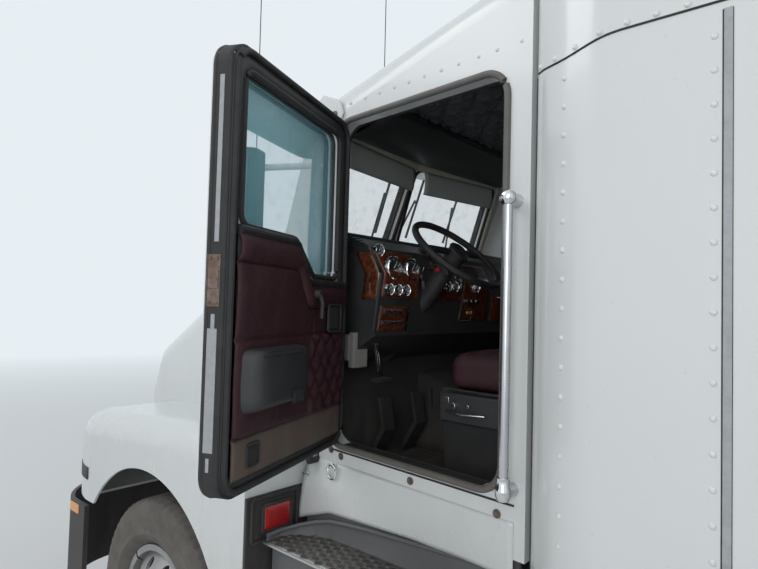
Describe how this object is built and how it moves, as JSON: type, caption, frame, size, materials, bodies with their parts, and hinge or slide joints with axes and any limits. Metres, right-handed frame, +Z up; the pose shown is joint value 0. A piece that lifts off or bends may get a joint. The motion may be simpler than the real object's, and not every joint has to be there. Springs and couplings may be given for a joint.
{
  "type": "semi truck tractor unit",
  "caption": "Conventional semi truck tractor unit with sloped hood, hollow cab, raised-roof sleeper, tandem drive axles and fifth wheel; doors, hood, steering and wheels move.",
  "frame": {"origin": "centre of the kingpin seat, level with the top of the fifth wheel plate", "axes": "+X towards the front bumper, +Y to the left side, +Z up"},
  "size_m": [8.414, 3.0108, 3.6499],
  "materials": {
    "white_paint": "gloss white with dirt",
    "frame_paint": "satin black",
    "cast_black": "painted casting",
    "steel_grey": "grey wheel paint",
    "polished": "polished",
    "chrome_trim": "chrome",
    "tyre_rubber": "worn",
    "black_rubber": "matte",
    "black_plastic": "grained",
    "clear_glass": "clear",
    "tinted_glass": "aqua tint",
    "vinyl": "burgundy vinyl",
    "amber_lens": "amber",
    "red_lens": "red",
    "lamp_lens": "clear lens",
    "dark_fabric": "woven"
  },
  "bodies": {
    "chassis": {"frame_rails": "frame_paint", "crossmembers": "frame_paint", "front_axle": "cast_black", "front_springs": "cast_black", "drive_axles": "cast_black", "rear_suspension": "cast_black", "engine_block": "cast_black", "drive_shafts": "cast_black", "radiator": "frame_paint", "fifth_wheel_base": "frame_paint", "cab_shell": "white_paint", "cab_roof": "white_paint", "windshield": "clear_glass", "sun_visor": "white_paint", "bumper": "black_plastic", "bumper_lamps": "amber_lens", "sleeper_body": "white_paint", "sleeper_roof": "white_paint", "fuel_tanks": "polished", "body_mounts": "frame_paint", "step_boxes": "black_plastic", "tread_plates": "polished", "mud_flaps": "black_rubber", "tail_lamps": "red_lens", "exhaust_stack": "chrome_trim", "grab_handles": "polished", "dashboard": "black_plastic", "steering_column": "black_plastic", "seats": "vinyl", "seat_bases": "black_plastic", "bunk": "dark_fabric"},
    "hood": {"hood": "white_paint", "grille": "chrome_trim", "headlamps": "lamp_lens", "splash_panels": "black_plastic"},
    "door_left": {"door_left": "white_paint", "door_left_glass": "tinted_glass", "door_left_trim": "vinyl", "mirror_left": "white_paint"},
    "door_right": {"door_right": "white_paint", "door_right_glass": "tinted_glass", "door_right_trim": "vinyl", "mirror_right": "white_paint"},
    "fifth_wheel": {"fifth_wheel_plate": "frame_paint"},
    "steering_wheel": {"steering_wheel": "black_plastic"},
    "knuckle_left": {"knuckle_left": "cast_black"},
    "knuckle_right": {"knuckle_right": "cast_black"},
    "front_wheel_left": {"front_rim_left": "steel_grey", "front_tyre_left": "tyre_rubber"},
    "front_wheel_right": {"front_rim_right": "steel_grey", "front_tyre_right": "tyre_rubber"},
    "mid_wheels_left": {"mid_rims_left": "steel_grey", "mid_tyres_left": "tyre_rubber"},
    "mid_wheels_right": {"mid_rims_right": "steel_grey", "mid_tyres_right": "tyre_rubber"},
    "rear_wheels_left": {"rear_rims_left": "steel_grey", "rear_tyres_left": "tyre_rubber"},
    "rear_wheels_right": {"rear_rims_right": "steel_grey", "rear_tyres_right": "tyre_rubber"}
  },
  "joints": [
    {"name": "door_left_swing", "type": "hinge", "parent": "chassis", "child": "door_left", "pos_m": [4.592, 0.87745, 0.86], "axis": [0, 0, 1], "range_deg": [-6.2, 63.8]},
    {"name": "door_right_swing", "type": "hinge", "parent": "chassis", "child": "door_right", "pos_m": [4.592, -0.87745, 0.86], "axis": [0, 0, 1], "range_deg": [0, 70]},
    {"name": "hood_tilt", "type": "hinge", "parent": "chassis", "child": "hood", "pos_m": [6.6, 0, -0.31], "axis": [0, 1, 0], "range_deg": [0, 75]},
    {"name": "fifth_wheel_tilt", "type": "hinge", "parent": "chassis", "child": "fifth_wheel", "pos_m": [0, 0, -0.1], "axis": [0, 1, 0], "range_deg": [-10, 10]},
    {"name": "steer_left", "type": "hinge", "parent": "chassis", "child": "knuckle_left", "pos_m": [5.4, 0.85, -0.68], "axis": [0, 0, 1], "range_deg": [-35, 35]},
    {"name": "steer_right", "type": "hinge", "parent": "chassis", "child": "knuckle_right", "pos_m": [5.4, -0.85, -0.68], "axis": [0, 0, 1], "range_deg": [-35, 35]},
    {"name": "steering_wheel_turn", "type": "hinge", "parent": "chassis", "child": "steering_wheel", "pos_m": [4.255, 0.443, 1], "axis": [-0.6428, 0, 0.766], "range_deg": [-720, 720]},
    {"name": "front_wheel_left_roll", "type": "hinge", "parent": "knuckle_left", "child": "front_wheel_left", "pos_m": [5.4, 1.043, -0.68], "axis": [0, 1, 0], "continuous": true},
    {"name": "front_wheel_right_roll", "type": "hinge", "parent": "knuckle_right", "child": "front_wheel_right", "pos_m": [5.4, -1.043, -0.68], "axis": [0, 1, 0], "continuous": true},
    {"name": "mid_wheels_left_roll", "type": "hinge", "parent": "chassis", "child": "mid_wheels_left", "pos_m": [0.46, 0.9, -0.68], "axis": [0, 1, 0], "continuous": true},
    {"name": "mid_wheels_right_roll", "type": "hinge", "parent": "chassis", "child": "mid_wheels_right", "pos_m": [0.46, -0.9, -0.68], "axis": [0, 1, 0], "continuous": true},
    {"name": "rear_wheels_left_roll", "type": "hinge", "parent": "chassis", "child": "rear_wheels_left", "pos_m": [-0.86, 0.9, -0.68], "axis": [0, 1, 0], "continuous": true},
    {"name": "rear_wheels_right_roll", "type": "hinge", "parent": "chassis", "child": "rear_wheels_right", "pos_m": [-0.86, -0.9, -0.68], "axis": [0, 1, 0], "continuous": true}
  ],
  "couplings": [
    {"joint": "steer_right", "follows": "steer_left", "ratio": 1},
    {"joint": "steering_wheel_turn", "follows": "steer_left", "ratio": 20}
  ]
}
